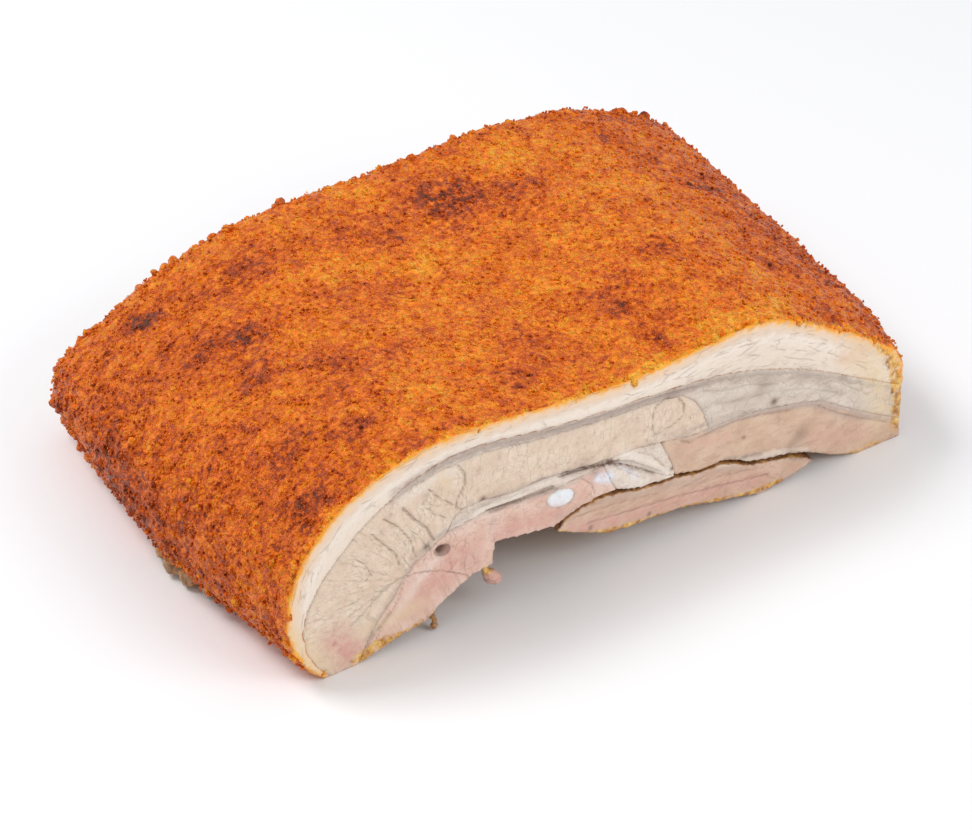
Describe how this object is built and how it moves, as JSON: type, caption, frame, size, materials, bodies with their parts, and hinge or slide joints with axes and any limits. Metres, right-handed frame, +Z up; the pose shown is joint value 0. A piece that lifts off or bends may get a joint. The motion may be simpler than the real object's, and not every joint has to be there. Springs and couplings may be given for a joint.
{
  "type": "roast pork belly",
  "caption": "Thick slab of roast pork belly lying as a low arch, with granular crackling on top and one side cut to show its layers of fat and lean.",
  "frame": {"origin": "middle of the piece's footprint, on the surface that it lies on", "axes": "+X along the cut face, from the end that bends down steeply to the end that slopes; +Y from the cut face to the back side; +Z up, out of the rind"},
  "size_m": [0.1946, 0.119, 0.0531],
  "materials": {
    "crackling": "crisp roasted rind, granular, orange to red-brown with dark scorched patches",
    "fat": "moist cream fat streaked with grey",
    "lean": "moist cut beige meat with fine fibres",
    "pink_lean": "moist cut pink meat with a roasted yellow-brown lower skin",
    "gristle": "glossy translucent white gristle",
    "cartilage": "wet bluish white cartilage"
  },
  "bodies": {
    "root": {"rind_and_fat": "crackling", "streaky_fat": "fat", "upper_lean": "lean", "tendon_sheet": "gristle", "lower_lean": "pink_lean", "gristle": "gristle", "side_lean": "lean", "rib_flap": "pink_lean", "rib_tip": "cartilage"}
  },
  "joints": []
}
